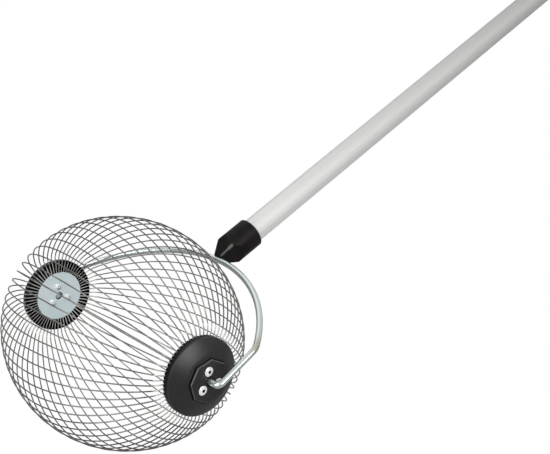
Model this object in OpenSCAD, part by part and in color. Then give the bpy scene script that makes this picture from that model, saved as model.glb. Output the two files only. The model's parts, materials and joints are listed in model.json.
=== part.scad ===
// Rolling nut gatherer: a ball of spring wires turns on a bail at the end of a tube handle.
// All lengths are millimetres and all angles are degrees.
// Tool frame: ball centre at the origin, axle along X, handle along +Y, Z square to the bail.
// Hub frame: z outward along the axle, x towards the handle, origin at the ball centre.

/* [Cage] */
// Radius of the cage at its belly, to the middle of the wires
cage_r = 109.2; // [106:0.2:116]
// Number of spring wires round the cage, shared evenly among the wire groups
wire_count = 60; // [48:12:72]
// Diameter of a spring wire
wire_d = 1.2; // [0.8:0.1:1.4]
// Distance between the planes in which the two ends of the wires lie
wire_plane_gap = 236.4; // [225:0.2:250]
// Bend radius where a wire turns in to the hub
neck_bend_r = 18; // [12:1:24]
// Length of wire that stands straight out of the hub rim
neck_stand = 1.3; // [0.5:0.1:4]
// Turn of the first wire from the bail, at rest
wire_turn = 1.5; // [0:0.1:5]

/* [Hub] */
// Outer radius of the hub moulding
hub_r = 36.7; // [33:0.1:40]
// Height of the comb teeth above the slot floor
tooth_h = 2; // [1.6:0.1:5]
// Width of the plain rim behind the comb
rim_w = 5.4; // [2:0.1:7]
// Rise of the domed face from the rim to the foot of the boss
dome_h = 8.1; // [6:0.1:12]
// Height of the eight-sided boss
boss_h = 3.5; // [2:0.1:5]
// Radius of the boss to the corners of its foot
boss_r = 21.8; // [19:0.1:25]
// How much the boss draws in from foot to face
boss_draft = 2; // [0.4:0.1:3]
// Width of the flat land round the foot of the boss, at its corners
boss_land = 0.4; // [0.2:0.1:2]
// Turn of the boss corners from the bail, at rest
boss_turn = 13; // [0:1:44]

/* [Clamp plates and rivets] */
// Radius of the plate that clamps the wire ends
plate_r = 25; // [22:0.1:27]
// Thickness of the clamp plate
plate_t = 1.5; // [1:0.1:2.5]
// Radius of the hole at the centre of the clamp plate
plate_hole_r = 4; // [3.6:0.1:5]
// Length of wire that the plate holds
wire_grip = 2.3; // [1:0.1:4]
// Radius of the circle of rivets
rivet_pitch_r = 10; // [9:0.1:13]
// Number of rivets in a hub
rivet_count = 3; // [2:1:4]
// Turn of the first rivet from the bail, at rest
rivet_turn = 72.5; // [0:0.5:119]
// Diameter of a rivet shank
rivet_d = 4.8; // [4:0.1:5.4]
// Diameter of a rivet head
rivet_head_d = 8.8; // [7:0.1:9.6]
// Height of a rivet head
rivet_head_h = 1.2; // [0.8:0.1:1.3]
// Diameter of the upset end of a rivet
rivet_tail_d = 6.6; // [5.8:0.1:8]
// Length of the upset end of a rivet
rivet_tail_h = 2.2; // [2:0.1:5]
// Diameter of the mandrel left in a rivet
mandrel_d = 2.7; // [2:0.1:3]
// Depth of the broken mandrel below the top of the rivet head
mandrel_depth = 2.5; // [1:0.1:6]

/* [Bail] */
// Diameter of the bail rod
rod_d = 6; // [5:0.1:7]
// Gap between the cage and the bail at the handle
bail_gap = 7.3; // [5:0.1:14]
// Gap between the hub boss and the leg of the bail, at the axle
leg_gap = 8.4; // [7:0.1:10]
// Splay of a leg: how far it leans out towards the axle
leg_splay = 5.5; // [0:0.5:7]
// Offset of the bow and the handle from the middle of the cage, along the axle
bow_offset = 7.5; // [0:0.5:10]
// How far the bow's radius exceeds its reach to the farther leg
bow_spare = 10.3; // [9.5:0.1:16]
// Bend radius between the bow and a leg
corner_bend_r = 16.6; // [12:0.2:22]
// Bend radius between a leg and its axle end
axle_bend_r = 4.5; // [4.2:0.1:7]
// How far an axle end stops short of the inner face of the clamp plate
axle_short = 1.5; // [0:0.1:4]

/* [Handle] */
// Tilt of the handle above the ground in the working position
handle_tilt = 23.5; // [0:0.5:60]
// Outer diameter of the handle tube
tube_d = 25; // [22:0.5:30]
// Wall of the handle tube
tube_wall = 1.2; // [0.8:0.1:2.5]
// Length of the handle tube
tube_len = 1000; // [500:10:1600]
// Length of the ferrule's plain sleeve
ferrule_len = 22.6; // [18:0.1:60]
// Wall of the ferrule round the tube
ferrule_wall = 2.9; // [1.6:0.1:4]
// Length of the ferrule's four-sided nose
nose_len = 23.9; // [14:0.1:26]
// Width of the nose across the flats at its tip
nose_tip_w = 8.6; // [8:0.1:14]
// Depth of plastic between the nose and the end of the tube
nose_floor = 2; // [1.5:0.1:10]
// Diameter of the stem that joins the bail to the ferrule
stem_d = 6; // [5:0.1:6.6]
// Depth to which the bail rod sinks into the tip of the nose
nose_seat = 2; // [0.5:0.1:2.4]
// Depth to which the bail rod sinks into the foot of the stem
stem_seat = 0.6; // [0.3:0.1:1]
// Length of stem that stands out past the nut
stem_past_nut = 2.5; // [0:0.1:6]
// Width of the stem nut across its flats
nut_w = 10; // [9:0.5:15]
// Height of the stem nut
nut_h = 5; // [4:0.1:8]
// Outer diameter of the stem washer
washer_d = 16; // [14:0.5:20]
// Thickness of the stem washer
washer_t = 1.6; // [1:0.1:2.4]

/* [Hand grip] */
// Length of the grip sleeve on the tube
grip_len = 140; // [90:1:260]
// Wall of the grip sleeve
grip_wall = 2.5; // [1.5:0.1:5]
// Thickness of the closed end of the grip
grip_end_t = 4; // [2:0.1:8]
// How far the flange at the lower end of the grip stands out
grip_flange = 2.5; // [1:0.1:6]
// Length of that flange
grip_flange_len = 5; // [3:0.1:12]
// Reach of the hanging tab, from the closed end to the middle of its hole
tab_reach = 12; // [9:0.1:20]
// Thickness of the hanging tab
tab_t = 8; // [5:0.1:12]
// Diameter of the hanging hole
hang_d = 8; // [5:0.1:10]
// Width of material round the hanging hole
tab_rim = 7; // [4:0.1:8]

/* [Clearances] */
// Running clearance of an axle end in its hub, on the radius
run_clear = 0.1; // [0.02:0.01:0.1]
// Clearance of pieces that are fitted together, on the radius
fit_clear = 0.05; // [0.02:0.01:0.2]
// Clearance of a wire in its slot, on each side
slot_clear = 0.1; // [0.05:0.01:0.3]
// Width of the gap between the clamp plate and the ends of the teeth
comb_gap = 0.3; // [0.1:0.05:1]

/* [Hidden] */
$fn = 96;
// Facets round a thin wire or a small hole
small_fn = 36;
// Margin by which a cutting shape runs past the material
past = 1;
// Number of wire groups, each a sector of the cage
wire_groups = 12;
// Length of the faint swell where two bends of a bar run into each other
join_len = 0.6;
// Radius of that swell, as a multiple of the bar's radius
join_swell = 1.035;
// How far a bend stops short of the middle of the swell
join_short = 0.15;

// Radii
wire_r = wire_d / 2;
rod_r = rod_d / 2;
tube_r = tube_d / 2;
tube_bore_r = tube_r - tube_wall;
stem_r = stem_d / 2;
rivet_r = rivet_d / 2;
mandrel_r = mandrel_d / 2;

// Stations along the axle, from the ball centre
wire_x = wire_plane_gap / 2;
slot_floor_x = wire_x + wire_r + fit_clear;
plate_seat_x = wire_x - wire_r - fit_clear;
plate_inner_x = plate_seat_x - plate_t;
tooth_tip_x = slot_floor_x - tooth_h;
rim_x = slot_floor_x + rim_w;
boss_foot_x = rim_x + dome_h;
boss_face_x = boss_foot_x + boss_h;
leg_x = boss_face_x + leg_gap + rod_r;
axle_end_x = plate_inner_x + axle_short;

// One wire: a belly arc that meets a neck bend, which ends square to the axle
neck_r = hub_r + neck_stand;
wire_end_r = plate_r - wire_grip;
neck_run = wire_x - neck_bend_r;
neck_drop = cage_r - neck_r - neck_bend_r;
belly_angle = 2 * atan(neck_drop / neck_run);
belly_r = neck_run / sin(belly_angle) + neck_bend_r;
wire_pitch = 360 / wire_count;
wires_per_group = wire_count / wire_groups;

// Hub moulding
comb_r = plate_r + comb_gap;
slot_w = wire_d + 2 * slot_clear;
slot_end_r = wire_end_r - slot_clear;
boss_sides = 8;
boss_flat_foot = boss_r * cos(180 / boss_sides);
boss_flat_face = (boss_r - boss_draft) * cos(180 / boss_sides);
dome_foot_r = boss_r + boss_land;
dome_drop = (hub_r * hub_r - dome_foot_r * dome_foot_r - dome_h * dome_h) / (2 * dome_h);
dome_r = sqrt(hub_r * hub_r + dome_drop * dome_drop);
bore_r = rod_r + run_clear;
bore_mouth = 0.8;

// Bail
bow_apex_y = cage_r + wire_r + bail_gap + rod_r;
bow_r = leg_x + bow_offset + bow_spare;
bow_centre_y = bow_apex_y - bow_r;
right_reach = leg_x - bow_offset;
left_reach = leg_x + bow_offset;
corner_swing = bow_r - corner_bend_r;
leg_out = [cos(leg_splay), sin(leg_splay)];
leg_up = [-sin(leg_splay), cos(leg_splay)];

// Stations along the handle, from the ball centre
nose_tip_y = bow_apex_y + rod_r - nose_seat;
stem_foot_y = bow_apex_y + rod_r - stem_seat;
sleeve_y = nose_tip_y + nose_len;
tube_y = sleeve_y + nose_floor;
tube_end_y = tube_y + tube_len;
nut_y = tube_y + washer_t;
stem_end_y = nut_y + nut_h + stem_past_nut;
grip_y = tube_end_y - grip_len;
grip_mid_y = grip_y + grip_len / 2;
grip_end_y = tube_end_y + grip_end_t;
hang_y = grip_end_y + tab_reach;
ferrule_r = tube_r + fit_clear + ferrule_wall;
grip_r = tube_r + fit_clear + grip_wall;
nose_sides = 4;
ferrule_edge = 0.8;
grip_edge = 2;

// Angle by which a bend of the given radius stops short of the middle of a join
function short_turn(bend_r) = join_short / bend_r * 180 / PI;

// Place on the bail, seen from the bow's axis, where the leg at the given reach leaves its axle bend
function leg_foot(reach) =
    [reach - axle_bend_r * (1 - cos(leg_splay)), axle_bend_r * (1 + sin(leg_splay))];

// Length of the straight leg at the given reach, up to where its corner bend can touch the bow
function leg_len(reach) =
    let (from_bow = leg_foot(reach) - corner_bend_r * leg_out - [0, bow_centre_y])
    let (along = from_bow * leg_up)
    sqrt(along * along - from_bow * from_bow + corner_swing * corner_swing) - along;

// Centre of the corner bend of the leg at the given reach
function corner_spot(reach) = leg_foot(reach) + leg_len(reach) * leg_up - corner_bend_r * leg_out;

// Direction, from the centre of the bow, in which the bow meets the corner bend of a leg
function corner_turn(reach) = atan2(corner_spot(reach)[1] - bow_centre_y, corner_spot(reach)[0]);

function wire_node(g) = str("cage_wires_", g < 10 ? "0" : "", g);

// Places the tool frame at rest: the origin is the middle of the grip and the handle is tilted up
module posed() {
    rotate([handle_tilt, 0, 0])
        translate([-bow_offset, -grip_mid_y, 0])
            children();
}

// Turns the hub frame into the tool frame, for the right side or mirrored for the left
module on_axle(side) {
    mirror([side < 0 ? 1 : 0, 0, 0])
        rotate(120, [1, 1, 1])
            children();
}

// Puts a shape drawn along +z on the handle axis, at station y
module on_handle(y) {
    translate([bow_offset, y, 0])
        rotate([-90, 0, 0])
            children();
}

// Disc or ring along z
module ring(z, h, r_out, r_in) {
    translate([0, 0, z])
        difference() {
            cylinder(r = r_out, h = h);
            translate([0, 0, -past])
                cylinder(r = r_in, h = h + 2 * past);
        }
}

// Round bar whose ends are chamfered, along z
module chamfered_bar(z, h, r, edge) {
    translate([0, 0, z])
        rotate_extrude()
            polygon([[0, 0], [r - edge, 0], [r, edge], [r, h - edge], [r - edge, h], [0, h]]);
}

// What lies outside the flats of a tapered prism that rises along z from flat_foot to flat_top
module outside_flats(sides, flat_foot, flat_top, h, reach) {
    lean = atan((flat_foot - flat_top) / h);
    for (k = [0 : sides - 1])
        rotate((k + 0.5) * 360 / sides)
            translate([flat_foot, 0, 0])
                rotate([0, -lean, 0])
                    translate([0, -reach, -reach])
                        cube([reach, 2 * reach, 3 * reach]);
}

// Stretch of round bar bent to an arc in the XY plane, counted from the +X direction
module bent_bar(bar_r, bend_r, from, sweep, sides) {
    rotate(from)
        rotate_extrude(angle = sweep)
            translate([bend_r, 0])
                circle(r = bar_r, $fn = sides);
}

// Join of two bends of a bar: centred on the given spot, along the given direction
module bar_join(bar_r, spot, turn, sides) {
    translate([spot[0], spot[1], 0])
        rotate(turn)
            rotate([0, 90, 0])
                cylinder(r = bar_r * join_swell, h = join_len, center = true, $fn = sides);
}

// Half of a wire past its belly arc: the neck bend and the straight end in the hub
module wire_neck() {
    neck_x = neck_run + neck_bend_r * sin(belly_angle);
    neck_y = neck_r + neck_bend_r * cos(belly_angle);
    bar_join(wire_r, [neck_x, neck_y], -belly_angle, small_fn);
    translate([neck_run, neck_r, 0])
        bent_bar(wire_r, neck_bend_r, 0, 90 - belly_angle - short_turn(neck_bend_r), small_fn);
    translate([wire_x, wire_end_r, 0])
        rotate([-90, 0, 0])
            cylinder(r = wire_r, h = neck_r - wire_end_r, $fn = small_fn);
}

// One spring wire from hub to hub, in the plane of the bail
module cage_wire() {
    half_turn = belly_angle - short_turn(belly_r);
    translate([0, cage_r - belly_r, 0])
        bent_bar(wire_r, belly_r, 90 - half_turn, 2 * half_turn, small_fn);
    wire_neck();
    mirror([1, 0, 0])
        wire_neck();
}

// One sector of spring wires
module cage_wires(g) {
    color("dimgray")
        posed()
            for (i = [0 : wires_per_group - 1])
                rotate([wire_turn + ((g - 1) * wires_per_group + i) * wire_pitch, 0, 0])
                    cage_wire();
}

// Radial slots that seat the ends of the wires
module comb_slots() {
    for (i = [0 : wire_count - 1])
        rotate(wire_turn + i * wire_pitch)
            translate([slot_end_r, -slot_w / 2, tooth_tip_x - past])
                cube([hub_r - slot_end_r + past, slot_w, tooth_h + past]);
}

// Places a shape at each rivet
module at_rivets() {
    for (k = [0 : rivet_count - 1])
        rotate(rivet_turn + k * 360 / rivet_count)
            translate([rivet_pitch_r, 0, 0])
                children();
}

// Domed hub moulding with its comb of teeth, its boss and its bores
module hub(side) {
    color([0.1, 0.1, 0.11])
        posed()
            on_axle(side)
                difference() {
                    union() {
                        intersection() {
                            translate([0, 0, tooth_tip_x])
                                cylinder(r = hub_r, h = boss_foot_x - tooth_tip_x);
                            translate([0, 0, rim_x - dome_drop])
                                sphere(r = dome_r);
                        }
                        translate([0, 0, boss_foot_x])
                            difference() {
                                translate([0, 0, -boss_h])
                                    cylinder(r = boss_r + boss_land / 2, h = 2 * boss_h);
                                rotate(boss_turn)
                                    outside_flats(boss_sides, boss_flat_foot, boss_flat_face, boss_h, boss_r);
                            }
                    }
                    translate([0, 0, tooth_tip_x - past])
                        cylinder(r = comb_r, h = plate_seat_x - tooth_tip_x + past);
                    comb_slots();
                    translate([0, 0, tooth_tip_x])
                        cylinder(r = bore_r, h = boss_face_x - tooth_tip_x + past, $fn = small_fn);
                    translate([0, 0, boss_face_x - bore_mouth])
                        cylinder(r1 = bore_r, r2 = bore_r + bore_mouth, h = bore_mouth, $fn = small_fn);
                    at_rivets()
                        translate([0, 0, tooth_tip_x])
                            cylinder(r = rivet_r + fit_clear, h = boss_face_x, $fn = small_fn);
                }
}

// Flat plate that clamps the wire ends into the comb
module clamp_plate(side) {
    color("lightsteelblue")
        posed()
            on_axle(side)
                difference() {
                    ring(plate_inner_x, plate_t, plate_r, plate_hole_r);
                    at_rivets()
                        translate([0, 0, plate_inner_x - past])
                            cylinder(r = rivet_r + fit_clear, h = plate_t + 2 * past, $fn = small_fn);
                }
}

// Hollow blind rivet: head on the boss, shank through the hub, upset end on the clamp plate
module rivet() {
    cap_r = (rivet_head_d * rivet_head_d / 4 + rivet_head_h * rivet_head_h) / (2 * rivet_head_h);
    difference() {
        union() {
            intersection() {
                translate([0, 0, boss_face_x + rivet_head_h - cap_r])
                    sphere(r = cap_r);
                translate([0, 0, boss_face_x])
                    cylinder(d = rivet_head_d, h = rivet_head_h);
            }
            translate([0, 0, plate_inner_x - rivet_tail_h])
                cylinder(r = rivet_r, h = boss_face_x - plate_inner_x + rivet_tail_h, $fn = small_fn);
            intersection() {
                translate([0, 0, plate_inner_x - rivet_tail_h])
                    cylinder(d = rivet_tail_d, h = rivet_tail_h);
                translate([0, 0, plate_inner_x - rivet_tail_h / 2])
                    sphere(d = rivet_tail_d);
            }
        }
        translate([0, 0, plate_inner_x - rivet_tail_h - past])
            cylinder(r = mandrel_r + fit_clear, h = boss_face_x, $fn = small_fn);
    }
}

// Broken mandrel that stays in a rivet, with its head on the upset end
module rivet_mandrel() {
    head_z = plate_inner_x - rivet_tail_h;
    translate([0, 0, head_z])
        cylinder(r = mandrel_r, h = boss_face_x + rivet_head_h - mandrel_depth - head_z, $fn = small_fn);
    intersection() {
        translate([0, 0, head_z])
            sphere(r = rivet_r);
        translate([0, 0, head_z - rivet_r])
            cylinder(r = rivet_r, h = rivet_r);
    }
}

module rivets(side) {
    color("gainsboro")
        posed()
            on_axle(side)
                at_rivets()
                    rivet();
}

module rivet_mandrels(side) {
    color("gray")
        posed()
            on_axle(side)
                at_rivets()
                    rivet_mandrel();
}

// Side of the bail: corner bend, leg, axle bend and axle end, at the given reach from the bow's axis
module bail_side(reach) {
    turn = corner_turn(reach);
    spot = corner_spot(reach);
    foot = leg_foot(reach);
    len = leg_len(reach);
    axle_x = reach - axle_bend_r;
    axle_len = leg_x - axle_bend_r - axle_end_x;
    corner_short = short_turn(corner_bend_r);
    bar_join(rod_r, [bow_r * cos(turn), bow_centre_y + bow_r * sin(turn)], turn - 90, $fn);
    translate([spot[0], spot[1], 0])
        bent_bar(rod_r, corner_bend_r, leg_splay + corner_short, turn - leg_splay - 2 * corner_short, $fn);
    bar_join(rod_r, foot + len * leg_up, leg_splay - 90, $fn);
    translate([foot[0], foot[1], 0])
        rotate(leg_splay)
            translate([0, join_short, 0])
                rotate([-90, 0, 0])
                    cylinder(r = rod_r, h = len - 2 * join_short);
    bar_join(rod_r, foot, leg_splay - 90, $fn);
    translate([axle_x, axle_bend_r, 0])
        bent_bar(rod_r, axle_bend_r, -90, 90 + leg_splay - short_turn(axle_bend_r), $fn);
    translate([axle_x - axle_len, 0, 0])
        rotate([0, 90, 0])
            cylinder(r = rod_r, h = axle_len);
}

// Rod bail: its bow stands in front of the cage and its bent-in ends are the axle
module bail() {
    bow_from = corner_turn(right_reach) + short_turn(bow_r);
    bow_to = 180 - corner_turn(left_reach) - short_turn(bow_r);
    color("silver")
        posed()
            translate([bow_offset, 0, 0]) {
                translate([0, bow_centre_y, 0])
                    bent_bar(rod_r, bow_r, bow_from, bow_to - bow_from, $fn);
                bail_side(right_reach);
                mirror([1, 0, 0])
                    bail_side(left_reach);
            }
}

// Room for the bow where it crosses the handle axis, as far as the given reach to either side
module bow_room(reach) {
    turn = asin((reach + past) / bow_r);
    translate([bow_offset, bow_centre_y, 0])
        bent_bar(rod_r + fit_clear, bow_r, 90 - turn, 2 * turn, $fn);
}

// Threaded stem that stands on the bow of the bail
module stem() {
    color("silver")
        posed()
            difference() {
                on_handle(stem_foot_y)
                    cylinder(r = stem_r, h = stem_end_y - stem_foot_y);
                bow_room(stem_r);
            }
}

module stem_washer() {
    color("silver")
        posed()
            on_handle(tube_y)
                ring(0, washer_t, washer_d / 2, stem_r + fit_clear);
}

module stem_nut() {
    color("silver")
        posed()
            on_handle(nut_y)
                difference() {
                    cylinder(r = nut_w / sqrt(3), h = nut_h, $fn = 6);
                    translate([0, 0, -past])
                        cylinder(r = stem_r + fit_clear, h = nut_h + 2 * past, $fn = small_fn);
                }
}

// Plastic ferrule: four-sided nose that sits on the bow, floor for the stem nut, sleeve round the tube
module ferrule() {
    color([0.08, 0.08, 0.09])
        posed()
            difference() {
                on_handle(nose_tip_y)
                    difference() {
                        chamfered_bar(0, nose_len + ferrule_len, ferrule_r, ferrule_edge);
                        mirror([0, 0, 1])
                            translate([0, 0, -nose_len])
                                rotate(180 / nose_sides)
                                    outside_flats(nose_sides, ferrule_r, nose_tip_w / 2, nose_len, ferrule_r);
                        translate([0, 0, -past])
                            cylinder(r = stem_r + fit_clear, h = nose_len + nose_floor + 2 * past);
                        translate([0, 0, nose_len + nose_floor])
                            cylinder(r = tube_r + fit_clear, h = ferrule_len);
                    }
                bow_room(nose_tip_w);
            }
}

module handle_tube() {
    color("gainsboro")
        posed()
            on_handle(tube_y)
                ring(0, tube_len, tube_r, tube_bore_r);
}

// Slip-on grip with a flange at its lower end and a hanging tab on its closed end
module hand_grip() {
    tab_w = hang_d + 2 * tab_rim;
    color([0.09, 0.09, 0.1])
        posed()
            difference() {
                union() {
                    on_handle(grip_y)
                        chamfered_bar(0, grip_len + grip_end_t, grip_r, grip_edge);
                    on_handle(grip_y)
                        chamfered_bar(0, grip_flange_len, grip_r + grip_flange, grip_edge / 2);
                    translate([bow_offset - tab_t / 2, hang_y, 0])
                        rotate([0, 90, 0])
                            cylinder(d = tab_w, h = tab_t);
                    translate([bow_offset - tab_t / 2, grip_end_y - grip_edge, -tab_w / 2])
                        cube([tab_t, tab_reach + grip_edge, tab_w]);
                }
                on_handle(grip_y - past)
                    cylinder(r = tube_r + fit_clear, h = grip_len + past);
                translate([bow_offset - tab_t, hang_y, 0])
                    rotate([0, 90, 0])
                        cylinder(d = hang_d, h = 2 * tab_t, $fn = small_fn);
            }
}

handle_tube();
hand_grip();
ferrule();
stem();
stem_washer();
stem_nut();
bail();
hub(1);  // hub_right
clamp_plate(1);  // clamp_plate_right
rivets(1);  // rivets_right
rivet_mandrels(1);  // rivet_mandrels_right
hub(-1);  // hub_left
clamp_plate(-1);  // clamp_plate_left
rivets(-1);  // rivets_left
rivet_mandrels(-1);  // rivet_mandrels_left
for (g = [1 : wire_groups])
    cage_wires(g);
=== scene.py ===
"""Looks of a rolling nut gatherer: a ball of spring wires on a rod bail with an aluminium tube handle."""
import json
import math
import bmesh
import bpy
from mathutils import Matrix, Vector


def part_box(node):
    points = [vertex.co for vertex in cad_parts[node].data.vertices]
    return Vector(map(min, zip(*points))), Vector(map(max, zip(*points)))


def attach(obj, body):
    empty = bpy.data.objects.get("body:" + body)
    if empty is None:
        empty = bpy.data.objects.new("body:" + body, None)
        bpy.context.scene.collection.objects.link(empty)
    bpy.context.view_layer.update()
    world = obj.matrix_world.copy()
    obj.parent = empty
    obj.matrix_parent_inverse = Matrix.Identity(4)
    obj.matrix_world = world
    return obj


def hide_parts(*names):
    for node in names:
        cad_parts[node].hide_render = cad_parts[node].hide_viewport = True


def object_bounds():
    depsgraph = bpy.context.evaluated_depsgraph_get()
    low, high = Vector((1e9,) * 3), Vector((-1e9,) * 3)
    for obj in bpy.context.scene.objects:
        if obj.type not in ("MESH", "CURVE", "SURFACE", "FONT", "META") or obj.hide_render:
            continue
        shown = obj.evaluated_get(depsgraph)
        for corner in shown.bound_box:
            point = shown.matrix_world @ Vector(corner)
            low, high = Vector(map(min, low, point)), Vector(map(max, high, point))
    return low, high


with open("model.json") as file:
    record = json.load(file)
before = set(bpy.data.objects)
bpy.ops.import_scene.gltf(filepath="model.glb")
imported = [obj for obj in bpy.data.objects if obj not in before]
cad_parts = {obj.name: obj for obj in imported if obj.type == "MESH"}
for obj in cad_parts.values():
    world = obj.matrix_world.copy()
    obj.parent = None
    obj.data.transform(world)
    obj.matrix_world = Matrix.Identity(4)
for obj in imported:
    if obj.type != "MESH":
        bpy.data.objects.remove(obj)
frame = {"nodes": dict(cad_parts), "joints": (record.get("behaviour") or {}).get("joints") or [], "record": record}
CAD_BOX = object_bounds()
NODES = frame["nodes"]
RECORD = frame["record"]
SLOT_OF = {s["node"]: s["material_slot"] for s in RECORD["subparts"]}
BODY_OF = {node: body for body, nodes in RECORD["behaviour"]["bodies"].items() for node in nodes}
MM = 0.001

# Places taken from the frame

BALL = Vector(frame["joints"][0]["pos_m"])
GRIP = next(m for m in RECORD["mounts"] if m["name"] == "grip")
HANDLE_AXIS = Vector(GRIP["axis"]).normalized()
HANDLE_TILT = math.atan2(HANDLE_AXIS.z, HANDLE_AXIS.y)
TOOL_FRAME = Matrix.Translation(BALL) @ Matrix.Rotation(HANDLE_TILT, 4, "X") @ Matrix.Scale(MM, 4)

# Camera of the photograph, measured from the middle of the ball

IMAGE_W = 550
CAMERA_FROM_BALL = Vector((828.68, -528.15, 450.84)) * MM
CAMERA_LOOK = Vector((-0.7112, 0.6184, -0.3344))
FOCAL_PX = 1119.6
SENSOR_W = 36.0

# Floor and room

FLOOR_SIZE = 28.0
FLOOR_GAP = 0.5 * MM
FLOOR_Z = CAD_BOX[0].z - FLOOR_GAP
FLOOR_IN_REFLECTIONS = 0.4
BRIGHT_SIDE = Vector((-0.25, 0.55, 0.75)).normalized()
ROOM_TONES = [(0.0, 0.047), (0.35, 0.187), (0.8, 0.74)]

# Sizes in millimetres, in the tool frame: origin in the ball, X along the axle, +Y along the handle

WIRE_R = 0.6
WIRE_X = 118.2
CAGE_R = 109.2
NECK_R = 38.0
NECK_BEND_R = 18.0
WIRE_END_R = 22.7
WIRE_TURN = 1.5
WIRE_GROUPS = 12
WIRES_PER_GROUP = 5
WIRE_PITCH = 360 / (WIRE_GROUPS * WIRES_PER_GROUP)
WIRE_EDGE = 0.1
ROD_R = 3.0
ROD_EDGE = 0.4
BOW_R = 165.05
BOW_CENTRE = Vector((7.5, 120.1 - BOW_R))
CORNER_BEND_R = 16.6
AXLE_BEND_R = 4.5
AXLE_END_X = 117.55
LEG_X = 147.25
LEG_SPLAY = 5.5
HUB_R = 36.7
RIM_W = 5.4
DOME_H = 8.1
BOSS_H = 3.5
BOSS_FACE_X = (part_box("hub_right")[1].x - BALL.x) / MM
BOSS_FOOT_X = BOSS_FACE_X - BOSS_H
RIM_X = BOSS_FOOT_X - DOME_H
SLOT_FLOOR_X = RIM_X - RIM_W
RIVETS = 3
RIVET_PITCH_R = 10.0
RIVET_TURN = 72.5
RIVET_REACH = 140.0
RIVET_HOLE_R = 1.8
# The mandrel runs from its bright head into painted shade deep in the rivet
MANDREL_HEAD_X = 120.0
MANDREL_SHADE_END_X = 128.0
FERRULE_END_Y = 167.2
HUB_EDGE = 0.8
HUB_EDGE_ZONE = 1.0
COMB_EDGE = 0.16
PLATE_EDGE = 0.3
FERRULE_EDGE = 0.7
GRIP_EDGE = 0.8

# Places of painted light and a stain: painted shade towards the far end of the tube, the bail's stained corner and
# a painted highlight on the ridge of the nose

# Painted shade on the tube begins at the first place along the handle and is full at the second
TUBE_SHADE_START_Y = 200.0
TUBE_SHADE_FULL_Y = 650.0
STAIN = Vector((141.0, 52.0, 0))
STAIN_R = 16.0
# Line of the painted highlight on the ridge of the nose; it widens from its middle point to its end
NOSE_RIDGE_FOOT = Vector((13.0, 123.5, 5.5))
NOSE_HIGHLIGHT_WIDE_START = Vector((16.8, 131.8, 9.3))
NOSE_RIDGE_END = Vector((18.2, 134.8, 10.7))

# Smoothness: steps of an arc, sides of a bar and steps of a rounded edge

NECK_STEPS = 8
BELLY_STEPS = 44
BEND_STEPS = 12
BOW_STEPS = 96
WIRE_SIDES = 12
ROD_SIDES = 32
EDGE_STEPS = 3

# Rounded copies of nodes: points this close are one, faces this flat are one, edges this sharp are rounded

SAME_POINT = 1e-7
FLAT_JOIN = math.radians(0.5)
SHARP_EDGE = math.radians(30)


# Middle lines of the wires and the rod


def unit(degrees):
    return Vector((math.cos(math.radians(degrees)), math.sin(math.radians(degrees))))


def arc(centre, radius, start, end, steps):
    """Points of an arc in the plane of the bail; the angles are degrees from +X."""
    return [centre + radius * unit(start + (end - start) * i / steps) for i in range(steps + 1)]


def mirrored(points):
    """The same points on the other side of the handle plane, in reverse order."""
    return [Vector((-p.x, p.y)) for p in reversed(points)]


def wire_path():
    """Middle line of one wire, from the right hub to the left hub."""
    neck = Vector((WIRE_X - NECK_BEND_R, NECK_R))
    belly_turn = math.degrees(2 * math.atan((CAGE_R - NECK_R - NECK_BEND_R) / neck.x))
    belly_r = neck.x / math.sin(math.radians(belly_turn)) + NECK_BEND_R
    neck_arc = arc(neck, NECK_BEND_R, 0, 90 - belly_turn, NECK_STEPS)
    end = [Vector((WIRE_X, WIRE_END_R))] + neck_arc[:-1]
    belly = arc(Vector((0, CAGE_R - belly_r)), belly_r, 90 - belly_turn, 90 + belly_turn, BELLY_STEPS)
    return end + belly + mirrored(end)


def bail_half(reach):
    """Middle line of one side of the bail, from its axle end to the bow, and where it meets the bow."""
    out = unit(LEG_SPLAY)
    up = unit(LEG_SPLAY + 90)
    swing = BOW_R - CORNER_BEND_R
    bow = Vector((0, BOW_CENTRE.y))
    bend = Vector((reach - AXLE_BEND_R, AXLE_BEND_R))
    from_bow = bend + AXLE_BEND_R * out - CORNER_BEND_R * out - bow
    along = from_bow.dot(up)
    leg = math.sqrt(along ** 2 - from_bow.length_squared + swing ** 2) - along
    corner = bow + from_bow + leg * up
    turn = math.degrees(math.atan2(corner.y - bow.y, corner.x))
    axle_end = Vector((reach - LEG_X + AXLE_END_X, 0))
    path = [axle_end] + arc(bend, AXLE_BEND_R, -90, LEG_SPLAY, BEND_STEPS)
    return path + arc(corner, CORNER_BEND_R, LEG_SPLAY, turn, BEND_STEPS)[:-1], turn


def bail_path():
    """Middle line of the bail, from its right axle end to its left one."""
    right, right_turn = bail_half(LEG_X - BOW_CENTRE.x)
    left, left_turn = bail_half(LEG_X + BOW_CENTRE.x)
    bow = arc(Vector((0, BOW_CENTRE.y)), BOW_R, right_turn, 180 - left_turn, BOW_STEPS)
    return [p + Vector((BOW_CENTRE.x, 0)) for p in right + bow + mirrored(left)]


# Pieces


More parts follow.
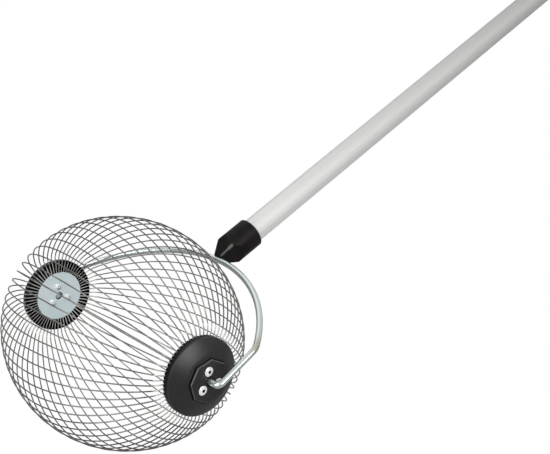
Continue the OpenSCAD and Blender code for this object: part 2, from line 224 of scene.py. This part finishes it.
def swept(path, radius, sides, edge):
    """Points and faces of a round bar along a plane path, with its ends chamfered."""
    first, last = (path[1] - path[0]).normalized(), (path[-1] - path[-2]).normalized()
    stations = [(path[0], radius - edge), (path[0] + edge * first, radius)]
    stations += [(p, radius) for p in path[1:-1]]
    stations += [(path[-1] - edge * last, radius), (path[-1], radius - edge)]
    points, faces = [], []
    for i, (middle, r) in enumerate(stations):
        before, after = stations[max(i - 1, 0)][0], stations[min(i + 1, len(stations) - 1)][0]
        side = (after - before).orthogonal().normalized()
        for k in range(sides):
            turn = unit(360 * k / sides)
            across = r * turn.x
            points.append(Vector((middle.x + across * side.x, middle.y + across * side.y, r * turn.y)))
    for i in range(len(stations) - 1):
        for k in range(sides):
            a, b = i * sides + k, i * sides + (k + 1) % sides
            faces.append((a, b, b + sides, a + sides))
    faces.append(tuple(reversed(range(sides))))
    faces.append(tuple(range(len(points) - sides, len(points))))
    return points, faces


def dress(obj, slot):
    obj.data.materials.clear()
    obj.data.materials.append(MATERIALS[slot])


def stand_for(node, name, points, faces):
    """A smooth piece made of these points and faces, in the row frame, which stands for a node."""
    mesh = bpy.data.meshes.new(name)
    mesh.from_pydata(points, [], faces)
    mesh.validate()
    mesh.shade_smooth()
    obj = bpy.data.objects.new(name, mesh)
    bpy.context.scene.collection.objects.link(obj)
    dress(obj, SLOT_OF[node])
    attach(obj, BODY_OF[node])
    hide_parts(node)
    return obj


def draw_wires():
    """Every group of spring wires as drawn wire."""
    shape, shape_faces = swept(wire_path(), WIRE_R, WIRE_SIDES, WIRE_EDGE)
    for group in range(WIRE_GROUPS):
        points, faces = [], []
        for i in range(WIRES_PER_GROUP):
            turn = math.radians(WIRE_TURN + (group * WIRES_PER_GROUP + i) * WIRE_PITCH)
            placed = TOOL_FRAME @ Matrix.Rotation(turn, 4, "X")
            faces += [tuple(len(points) + k for k in face) for face in shape_faces]
            points += [placed @ p for p in shape]
        name = f"cage_wires_{group + 1:02d}"
        stand_for(name, name + "_drawn", points, faces)


def bend_bail():
    """The bail as one bent rod."""
    points, faces = swept(bail_path(), ROD_R, ROD_SIDES, ROD_EDGE)
    stand_for("bail", "bail_bent", [TOOL_FRAME @ p for p in points], faces)


def fully(place):
    """Every edge is rounded in full, wherever it is."""
    return 1.0


def hub_share(place):
    """Share of rounding on a hub: full on boss and rim, none at the boss foot, a little on the comb."""
    x = abs(place.x)
    if x > BOSS_FOOT_X + HUB_EDGE_ZONE:
        return 1.0
    if x > BOSS_FOOT_X - HUB_EDGE_ZONE:
        return 0.0
    return 1.0 if x > RIM_X - HUB_EDGE_ZONE else COMB_EDGE / HUB_EDGE


def softened(node, width, share=fully):
    """A copy of a node that stands for it; share says how far an edge is rounded at its place."""
    bm = bmesh.new()
    bm.from_mesh(NODES[node].data)
    bmesh.ops.remove_doubles(bm, verts=bm.verts, dist=SAME_POINT)
    bmesh.ops.dissolve_limit(bm, angle_limit=FLAT_JOIN, verts=bm.verts, edges=bm.edges)
    bm.verts.index_update()
    points = [v.co.copy() for v in bm.verts]
    faces = [[v.index for v in f.verts] for f in bm.faces]
    bm.free()
    obj = stand_for(node, node + "_rounded", points, faces)
    to_tool = TOOL_FRAME.inverted()
    bm = bmesh.new()
    bm.from_mesh(obj.data)
    weight = bm.edges.layers.float.new("bevel_weight_edge")
    for edge in bm.edges:
        if len(edge.link_faces) == 2 and edge.calc_face_angle() > SHARP_EDGE:
            edge[weight] = share(to_tool @ ((edge.verts[0].co + edge.verts[1].co) / 2))
    bm.to_mesh(obj.data)
    bm.free()
    bevel = obj.modifiers.new("edges", "BEVEL")
    bevel.limit_method = "WEIGHT"
    bevel.width = width * MM
    bevel.segments = EDGE_STEPS
    bevel.harden_normals = True


# Shader helpers, with distances in millimetres


def is_socket(value):
    return isinstance(value, bpy.types.NodeSocket)


def feed(tree, socket, value):
    """Links a socket to another one, or sets it to a plain value."""
    if is_socket(value):
        tree.links.new(value, socket)
    else:
        socket.default_value = value


def vector_math(tree, operation, a, b):
    """The node of an operation on two vectors, each a socket or plain."""
    node = tree.nodes.new("ShaderNodeVectorMath")
    node.operation = operation
    feed(tree, node.inputs[0], a)
    feed(tree, node.inputs[1], b)
    return node


def of_two(tree, operation, a, b):
    """The result of an operation on two numbers."""
    node = tree.nodes.new("ShaderNodeMath")
    node.operation = operation
    feed(tree, node.inputs[0], a)
    feed(tree, node.inputs[1], b)
    return node.outputs[0]


def larger(tree, a, b):
    return of_two(tree, "MAXIMUM", a, b)


def smaller(tree, a, b):
    return of_two(tree, "MINIMUM", a, b)


def mapped(tree, value, start, end, low=0.0, high=1.0, shape="LINEAR"):
    """Runs from low to high as a value runs from start to end, and stays there beyond them."""
    node = tree.nodes.new("ShaderNodeMapRange")
    node.interpolation_type = shape
    node.inputs["From Min"].default_value = start
    node.inputs["From Max"].default_value = end
    node.inputs["To Min"].default_value = low
    node.inputs["To Max"].default_value = high
    tree.links.new(value, node.inputs["Value"])
    return node.outputs["Result"]


def between(tree, factor, low, high):
    """Runs from low to high as the factor runs from 0 to 1."""
    return mapped(tree, factor, 0.0, 1.0, low, high)


def spread(tree, factor, low, high):
    """Maps the middle of a noise factor to the range from low to high."""
    return mapped(tree, factor, 0.3, 0.7, low, high)


def row_place(tree):
    """The place on the object, in the row frame at rest."""
    return tree.nodes.new("ShaderNodeTexCoord").outputs["Object"]


def gap_from_ball(tree, axes):
    """Distance from the middle of the ball that counts only the axes that are 1."""
    counted = vector_math(tree, "MULTIPLY", row_place(tree), axes).outputs["Vector"]
    return vector_math(tree, "DISTANCE", counted, BALL * Vector(axes)).outputs["Value"]


def axle_place(tree, start, end):
    """0 up to one distance from the ball's middle along the axle, to either side, 1 beyond the other."""
    return mapped(tree, gap_from_ball(tree, (1, 0, 0)), start * MM, end * MM)


def axle_gap(tree, start, end):
    """0 up to one distance from the line of the axle and 1 beyond the other."""
    return mapped(tree, gap_from_ball(tree, (0, 1, 1)), start * MM, end * MM)


def handle_place(tree, start, end):
    """0 up to one distance from the ball's middle along the handle and 1 beyond the other."""
    from_ball = vector_math(tree, "SUBTRACT", row_place(tree), BALL).outputs["Vector"]
    along = vector_math(tree, "DOT_PRODUCT", from_ball, HANDLE_AXIS).outputs["Value"]
    return mapped(tree, along, start * MM, end * MM)


def fading(tree, gap, radius, peak):
    """The peak value where a distance is nothing, falling smoothly to 0 at the radius."""
    return mapped(tree, gap, 0.0, radius * MM, peak, 0.0, "SMOOTHSTEP")


def near(tree, spot, radius):
    """1 at a spot of the tool frame, falling to 0 at the radius."""
    gap = vector_math(tree, "DISTANCE", row_place(tree), TOOL_FRAME @ spot).outputs["Value"]
    return fading(tree, gap, radius, 1.0)


def near_line(tree, start, end, radius, peak):
    """The peak value on a line between two spots of the tool frame, falling to 0 at the radius."""
    line = TOOL_FRAME @ end - TOOL_FRAME @ start
    from_start = vector_math(tree, "SUBTRACT", row_place(tree), TOOL_FRAME @ start).outputs["Vector"]
    along = vector_math(tree, "DOT_PRODUCT", from_start, line / line.length_squared).outputs["Value"]
    foot = tree.nodes.new("ShaderNodeVectorMath")
    foot.operation = "SCALE"
    foot.inputs[0].default_value = line
    tree.links.new(between(tree, along, 0.0, 1.0), foot.inputs["Scale"])
    gap = vector_math(tree, "DISTANCE", from_start, foot.outputs["Vector"]).outputs["Value"]
    return fading(tree, gap, radius, peak)


def noise(tree, scale, detail=4.0, stretch=(1, 1, 1), turn=(0, 0, 0)):
    """Noise in the row frame; stretch below 1 draws it out along that axis, after the turn."""
    turned = tree.nodes.new("ShaderNodeMapping")
    turned.inputs["Rotation"].default_value = turn
    drawn = tree.nodes.new("ShaderNodeMapping")
    drawn.inputs["Scale"].default_value = stretch
    texture = tree.nodes.new("ShaderNodeTexNoise")
    texture.inputs["Scale"].default_value = scale
    texture.inputs["Detail"].default_value = detail
    tree.links.new(row_place(tree), turned.inputs["Vector"])
    tree.links.new(turned.outputs["Vector"], drawn.inputs["Vector"])
    tree.links.new(drawn.outputs["Vector"], texture.inputs["Vector"])
    return texture.outputs["Fac"]


def color_ramp(tree, factor, stops):
    """Colours along a factor; stops are (place, colour) pairs."""
    node = tree.nodes.new("ShaderNodeValToRGB")
    elements = node.color_ramp.elements
    while len(elements) < len(stops):
        elements.new(0.5)
    for element, (place, color) in zip(elements, stops):
        element.position = place
        element.color = (*color, 1)
    tree.links.new(factor, node.inputs["Fac"])
    return node.outputs["Color"]


def tone_ramp(tree, factor, stops):
    """Grey tones along a factor; stops are (place, tone) pairs."""
    return color_ramp(tree, factor, [(place, (tone, tone, tone)) for place, tone in stops])


def axle_tones(tree, stops):
    """Grey tones along the axle; stops are (distance from the ball's middle, tone) pairs."""
    first, last = stops[0][0], stops[-1][0]
    places = [((distance - first) / (last - first), tone) for distance, tone in stops]
    return tone_ramp(tree, axle_place(tree, first, last), places)


def blended(tree, factor, color, other):
    """A colour that gives way to another one, a socket or plain, as the factor rises."""
    node = tree.nodes.new("ShaderNodeMix")
    node.data_type = "RGBA"
    tree.links.new(factor, node.inputs["Factor"])
    tree.links.new(color, node.inputs["A"])
    feed(tree, node.inputs["B"], other if is_socket(other) else (*other, 1))
    return node.outputs["Result"]


def either(tree, factor, shader, other):
    """A shader that gives way to another one as the factor rises."""
    node = tree.nodes.new("ShaderNodeMixShader")
    tree.links.new(factor, node.inputs["Fac"])
    tree.links.new(shader, node.inputs[1])
    tree.links.new(other, node.inputs[2])
    return node.outputs[0]


def new_material(name, color, metallic, roughness):
    """A material whose shader has these plain values; returns the material, its tree and its shader."""
    mat = bpy.data.materials.new(name)
    mat.use_nodes = True
    tree = mat.node_tree
    shader = tree.nodes["Principled BSDF"]
    shader.inputs["Base Color"].default_value = (*color, 1)
    shader.inputs["Metallic"].default_value = metallic
    shader.inputs["Roughness"].default_value = roughness
    return mat, tree, shader


def set_color(tree, shader, socket):
    tree.links.new(socket, shader.inputs["Base Color"])


def set_roughness(tree, shader, factor, low, high):
    tree.links.new(spread(tree, factor, low, high), shader.inputs["Roughness"])


def set_bump(tree, shader, factor, strength, depth):
    node = tree.nodes.new("ShaderNodeBump")
    node.inputs["Strength"].default_value = strength
    node.inputs["Distance"].default_value = depth * MM
    tree.links.new(factor, node.inputs["Height"])
    tree.links.new(node.outputs["Normal"], shader.inputs["Normal"])


# Materials


def tube_aluminium():
    """Drawn aluminium: soft streaks and fine lines along the tube, and painted shade that darkens it towards the
    grip.
    """
    mat, tree, shader = new_material("drawn_aluminium", (0.59, 0.59, 0.58), 0.25, 0.6)
    along = (-HANDLE_TILT, 0, 0)
    streaks = noise(tree, 240, 2, stretch=(1, 0.006, 1), turn=along)
    bright = color_ramp(tree, streaks, [(0.3, (0.56, 0.56, 0.555)), (0.7, (0.62, 0.62, 0.61))])
    # Painted shade: the colour darkens along the handle towards the grip
    far_end_shade = handle_place(tree, TUBE_SHADE_START_Y, TUBE_SHADE_FULL_Y)
    set_color(tree, shader, blended(tree, far_end_shade, bright, (0.35, 0.35, 0.345)))
    lines = noise(tree, 1400, 3, stretch=(1, 0.004, 1), turn=along)
    set_roughness(tree, shader, lines, 0.56, 0.66)
    set_bump(tree, shader, lines, 0.2, 0.03)
    return mat


def bail_steel():
    """Bright zinc on drawn rod: cool clouds, and a warm stain where the near corner was bent."""
    mat, tree, shader = new_material("zinc_rod", (0.66, 0.72, 0.71), 0.9, 0.3)
    clouds = noise(tree, 45, 3)
    stops = [(0.3, (0.60, 0.68, 0.67)), (0.55, (0.66, 0.72, 0.71)), (0.75, (0.71, 0.74, 0.72))]
    zinc = color_ramp(tree, clouds, stops)
    set_color(tree, shader, blended(tree, near(tree, STAIN, STAIN_R), zinc, (0.52, 0.47, 0.40)))
    set_roughness(tree, shader, clouds, 0.26, 0.34)
    grain = noise(tree, 1200, 2)
    set_bump(tree, shader, grain, 0.1, 0.02)
    return mat


def zinc_steel():
    """Zinc on small turned pieces."""
    mat, tree, shader = new_material("zinc_fastener", (0.64, 0.66, 0.69), 1.0, 0.3)
    clouds = noise(tree, 120, 4)
    stops = [(0.3, (0.58, 0.62, 0.66)), (0.7, (0.70, 0.71, 0.72))]
    set_color(tree, shader, color_ramp(tree, clouds, stops))
    set_roughness(tree, shader, clouds, 0.22, 0.38)
    return mat


def plate_steel():
    """Blue-passivated zinc on stamped sheet, faintly iridescent."""
    mat, tree, shader = new_material("zinc_plate", (0.72, 0.82, 0.85), 0.5, 0.4)
    clouds = noise(tree, 42, 4)
    stops = [(0.3, (0.68, 0.81, 0.82)), (0.5, (0.72, 0.82, 0.85))]
    stops += [(0.64, (0.75, 0.82, 0.87)), (0.8, (0.78, 0.84, 0.83))]
    set_color(tree, shader, color_ramp(tree, clouds, stops))
    grain = noise(tree, 1400, 3)
    set_roughness(tree, shader, grain, 0.3, 0.44)
    set_bump(tree, shader, grain, 0.15, 0.03)
    return mat


def rivet_aluminium():
    """Bright upset aluminium with fine tool marks, and painted shade down the hole of each head."""
    mat, tree, shader = new_material("rivet_aluminium", (0.9, 0.9, 0.9), 0.45, 0.3)
    marks = noise(tree, 700, 4)
    color = tone_ramp(tree, marks, [(0.3, 0.86), (0.7, 0.94)])
    for k in range(RIVETS):
        y, z = RIVET_PITCH_R * unit(RIVET_TURN + k * 360 / RIVETS)
        ends = Vector((-RIVET_REACH, y, z)), Vector((RIVET_REACH, y, z))
        # Painted shade down the hole: a peak far above 1 gives it a sharp edge
        hole = near_line(tree, *ends, RIVET_HOLE_R, 8.0)
        color = blended(tree, hole, color, (0.02, 0.02, 0.02))
    set_color(tree, shader, color)
    set_roughness(tree, shader, marks, 0.2, 0.34)
    set_bump(tree, shader, marks, 0.15, 0.04)
    return mat


def mandrel_steel():
    """Steel mandrel: bright on its upset head, grainy, and with painted shade that makes it dark deep in the
    rivet, where it broke off.
    """
    mat, tree, shader = new_material("mandrel_steel", (0.5, 0.5, 0.5), 1.0, 0.4)
    grain = noise(tree, 1600, 4)
    bright = color_ramp(tree, grain, [(0.3, (0.46, 0.46, 0.465)), (0.7, (0.62, 0.62, 0.62))])
    # Painted shade: the mandrel turns near black deep in the rivet
    deep_shade = axle_place(tree, MANDREL_HEAD_X, MANDREL_SHADE_END_X)
    set_color(tree, shader, blended(tree, deep_shade, bright, (0.03, 0.03, 0.03)))
    set_bump(tree, shader, grain, 0.4, 0.1)
    return mat


def hub_plastic():
    """Black moulded plastic: darker and less glossy on the comb and rim, painted shade on the boss wall near its
    foot and round the bore, and a painted highlight on the boss edge.
    """
    mat, tree, shader = new_material("hub_plastic", (0.006, 0.006, 0.007), 0.0, 0.4)
    clouds = noise(tree, 45, 3)
    matte_and_shade_black = tone_ramp(tree, clouds, [(0.3, 0.001), (0.7, 0.002)])
    satin = color_ramp(tree, clouds, [(0.3, (0.008, 0.008, 0.0085)), (0.7, (0.013, 0.012, 0.0145))])
    # Darker and less glossy on the comb and rim; painted shade, darker colour with less reflection, at the foot of
    # the boss wall and round the bore
    zones = [(SLOT_FLOOR_X + 0.15, 0), (SLOT_FLOOR_X + 1.35, 0.35)]
    zones += [(RIM_X - 1.65, 0.35), (RIM_X - 1.05, 1)]
    zones += [(BOSS_FOOT_X + 0.15, 1), (BOSS_FOOT_X + 0.6, 0)]
    zones += [(BOSS_FACE_X - 1.4, 0), (BOSS_FACE_X - 1.1, 1)]
    gloss_out_of_shade = smaller(tree, axle_tones(tree, zones), axle_gap(tree, ROD_R + 0.6, ROD_R + 2.2))
    # Painted highlight: a lighter grey band on the edge of the boss face
    edge = [(BOSS_FACE_X - 1.85, 0), (BOSS_FACE_X - 1.1, 1)]
    edge += [(BOSS_FACE_X - 0.35, 1), (BOSS_FACE_X - 0.14, 0)]
    black = blended(tree, gloss_out_of_shade, matte_and_shade_black, satin)
    set_color(tree, shader, blended(tree, axle_tones(tree, edge), black, (0.05, 0.05, 0.052)))
    tree.links.new(between(tree, gloss_out_of_shade, 0.03, 0.48), shader.inputs["Specular IOR Level"])
    grain = noise(tree, 2600, 3)
    set_roughness(tree, shader, grain, 0.36, 0.46)
    set_bump(tree, shader, grain, 0.12, 0.04)
    return mat


def ferrule_plastic():
    """Black moulded plastic with soft sink marks, and a painted highlight in grey on its end and on the ridge of
    its nose.
    """
    mat, tree, shader = new_material("ferrule_plastic", (0.01, 0.009, 0.009), 0.0, 0.34)
    shader.inputs["Specular IOR Level"].default_value = 0.06
    clouds = noise(tree, 110, 3)
    black = color_ramp(tree, clouds, [(0.3, (0.008, 0.0075, 0.0072)), (0.7, (0.012, 0.011, 0.0105))])
    # Painted highlight along the ridge of the nose and round the end of the sleeve
    ridge = near_line(tree, NOSE_RIDGE_FOOT, NOSE_RIDGE_END, 2.2, 0.5)
    ridge = larger(tree, ridge, near_line(tree, NOSE_HIGHLIGHT_WIDE_START, NOSE_RIDGE_END, 3.2, 0.6))
    painted_highlight = larger(tree, ridge, handle_place(tree, FERRULE_END_Y - 0.6, FERRULE_END_Y))
    set_color(tree, shader, blended(tree, painted_highlight, black, (0.24, 0.24, 0.23)))
    set_roughness(tree, shader, clouds, 0.3, 0.4)
    set_bump(tree, shader, clouds, 0.1, 0.2)
    return mat


def grip_rubber():
    """Soft matte rubber with a pebbled grain."""
    mat, tree, shader = new_material("grip_rubber", (0.02, 0.02, 0.021), 0.0, 0.7)
    clouds = noise(tree, 60, 4)
    stops = [(0.3, (0.016, 0.016, 0.017)), (0.7, (0.026, 0.026, 0.027))]
    set_color(tree, shader, color_ramp(tree, clouds, stops))
    grain = noise(tree, 1500, 3)
    set_roughness(tree, shader, grain, 0.6, 0.8)
    set_bump(tree, shader, grain, 0.5, 0.2)
    return mat


def spring_wire():
    """Drawn spring steel, dark and faintly brown, with a painted highlight on the ends that lie in the comb."""
    mat, tree, shader = new_material("spring_wire", (0.4, 0.38, 0.36), 1.0, 0.34)
    clouds = noise(tree, 60, 4)
    stops = [(0.3, (0.17, 0.16, 0.15)), (0.55, (0.27, 0.255, 0.245)), (0.75, (0.44, 0.43, 0.415))]
    # Painted highlight: the ends in the comb turn pale and less metallic, held lower away from the comb
    end_highlight_cap = between(tree, axle_gap(tree, HUB_R - 2.7, HUB_R + 0.3), 1.0, 0.4)
    ends = smaller(tree, axle_place(tree, WIRE_X - 2.2, WIRE_X - 0.8), end_highlight_cap)
    set_color(tree, shader, blended(tree, ends, color_ramp(tree, clouds, stops), (0.82, 0.81, 0.79)))
    tree.links.new(between(tree, ends, 1.0, 0.3), shader.inputs["Metallic"])
    set_roughness(tree, shader, clouds, 0.28, 0.4)
    return mat


def floor_white():
    """White floor: plain white where it is seen, dimmer in reflections, lit where light bounces off it."""
    mat = bpy.data.materials.new("floor_white")
    mat.use_nodes = True
    tree = mat.node_tree
    tree.nodes.clear()
    path = tree.nodes.new("ShaderNodeLightPath")
    seen = larger(tree, path.outputs["Is Camera Ray"], path.outputs["Is Transmission Ray"])
    shown = larger(tree, seen, path.outputs["Is Glossy Ray"])
    lit = tree.nodes.new("ShaderNodeBsdfDiffuse")
    lit.inputs["Color"].default_value = (0.8, 0.8, 0.8, 1)
    plain = tree.nodes.new("ShaderNodeEmission")
    plain.inputs["Color"].default_value = (1, 1, 1, 1)
    tree.links.new(between(tree, seen, FLOOR_IN_REFLECTIONS, 1.0), plain.inputs["Strength"])
    out = tree.nodes.new("ShaderNodeOutputMaterial")
    tree.links.new(either(tree, shown, lit.outputs[0], plain.outputs[0]), out.inputs["Surface"])
    return mat


# Camera, floor and light


def make_camera():
    camera = bpy.data.objects.new("camera", bpy.data.cameras.new("camera"))
    bpy.context.scene.collection.objects.link(camera)
    camera.data.sensor_width = SENSOR_W
    camera.data.lens = FOCAL_PX * SENSOR_W / IMAGE_W
    camera.data.clip_start = 0.01
    camera.data.clip_end = 100
    camera.location = BALL + CAMERA_FROM_BALL
    camera.rotation_euler = CAMERA_LOOK.to_track_quat("-Z", "Y").to_euler()
    bpy.context.scene.camera = camera


def make_floor():
    reach = FLOOR_SIZE / 2
    mesh = bpy.data.meshes.new("floor")
    corners = [(-reach, -reach, 0), (reach, -reach, 0), (reach, reach, 0), (-reach, reach, 0)]
    mesh.from_pydata(corners, [], [(0, 1, 2, 3)])
    mesh.materials.append(floor_white())
    floor = bpy.data.objects.new("floor", mesh)
    floor.location = (BALL.x, BALL.y, FLOOR_Z)
    bpy.context.scene.collection.objects.link(floor)


def make_world():
    """A studio that is bright above and behind and plain white to the camera; the suns light its front."""
    world = bpy.data.worlds.new("studio")
    bpy.context.scene.world = world
    world.use_nodes = True
    tree = world.node_tree
    room = tree.nodes["Background"]
    direction = tree.nodes.new("ShaderNodeTexCoord").outputs["Generated"]
    toward = vector_math(tree, "DOT_PRODUCT", direction, BRIGHT_SIDE).outputs["Value"]
    tree.links.new(tone_ramp(tree, toward, ROOM_TONES), room.inputs["Color"])
    plain = tree.nodes.new("ShaderNodeBackground")
    plain.inputs["Color"].default_value = (1, 1, 1, 1)
    seen = tree.nodes.new("ShaderNodeLightPath").outputs["Is Camera Ray"]
    surface = either(tree, seen, room.outputs[0], plain.outputs[0])
    tree.links.new(surface, tree.nodes["World Output"].inputs["Surface"])


def make_sun(name, source, strength, soft_deg):
    """A soft light that comes from the direction of its source."""
    lamp = bpy.data.objects.new(name, bpy.data.lights.new(name, "SUN"))
    lamp.data.energy = strength
    lamp.data.angle = math.radians(soft_deg)
    lamp.rotation_euler = (-Vector(source)).to_track_quat("-Z", "Y").to_euler()
    bpy.context.scene.collection.objects.link(lamp)


def make_light():
    make_world()
    make_sun("key", (0.86, 0.0, 0.5), 2.0, 42)
    make_sun("front", (0.05, -0.84, 0.5), 2.1, 50)
    make_sun("side", (-0.7, 0.1, 0.7), 0.25, 50)


# The scene

MATERIALS = {
    "tube_aluminium": tube_aluminium(),
    "grip_rubber": grip_rubber(),
    "ferrule_plastic": ferrule_plastic(),
    "hub_plastic": hub_plastic(),
    "bail_steel": bail_steel(),
    "zinc_steel": zinc_steel(),
    "plate_steel": plate_steel(),
    "rivet_aluminium": rivet_aluminium(),
    "mandrel_steel": mandrel_steel(),
    "spring_wire": spring_wire(),
}

for name, obj in NODES.items():
    dress(obj, SLOT_OF[name])
draw_wires()
bend_bail()
for side in ("right", "left"):
    softened("hub_" + side, HUB_EDGE, hub_share)
    softened("clamp_plate_" + side, PLATE_EDGE)
softened("ferrule", FERRULE_EDGE)
softened("hand_grip", GRIP_EDGE)

make_camera()
make_floor()
make_light()
bpy.context.scene.view_settings.view_transform = "Standard"
